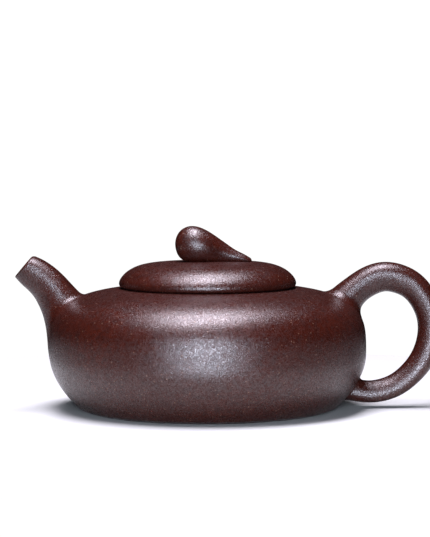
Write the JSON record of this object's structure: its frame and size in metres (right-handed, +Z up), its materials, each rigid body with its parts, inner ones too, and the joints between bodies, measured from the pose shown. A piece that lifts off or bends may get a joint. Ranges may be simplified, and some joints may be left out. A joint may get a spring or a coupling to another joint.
{
  "type": "teapot",
  "caption": "Low round clay teapot with a short slanted spout, a round loop handle, a strainer behind the spout, and a domed lid with a pear-shaped knob that lifts off.",
  "frame": {"origin": "on the pot's axis, in the plane the foot ring stands on", "axes": "+Z up along the pot's axis, +X towards the handle, -X towards the spout, -Y towards the front view"},
  "size_m": [0.1564, 0.1154, 0.0666],
  "materials": {
    "burnished_clay": "burnished unglazed purple-brown stoneware, satin, fine sand grain",
    "raw_clay": "unburnished purple-brown stoneware, matt"
  },
  "bodies": {
    "pot": {"body_wall": "burnished_clay", "shoulder_slab": "burnished_clay", "base_slab": "raw_clay", "foot_ring": "burnished_clay", "mouth_ring": "raw_clay", "spout": "burnished_clay", "ball_strainer": "raw_clay", "handle": "burnished_clay"},
    "lid": {"lid_dome": "burnished_clay", "lid_plate": "raw_clay", "lid_flange": "raw_clay", "knob": "burnished_clay"}
  },
  "joints": [
    {"name": "lid_lift", "type": "slide", "parent": "pot", "child": "lid", "axis": [0, 0, 1], "range_m": [0, 0.05]}
  ]
}
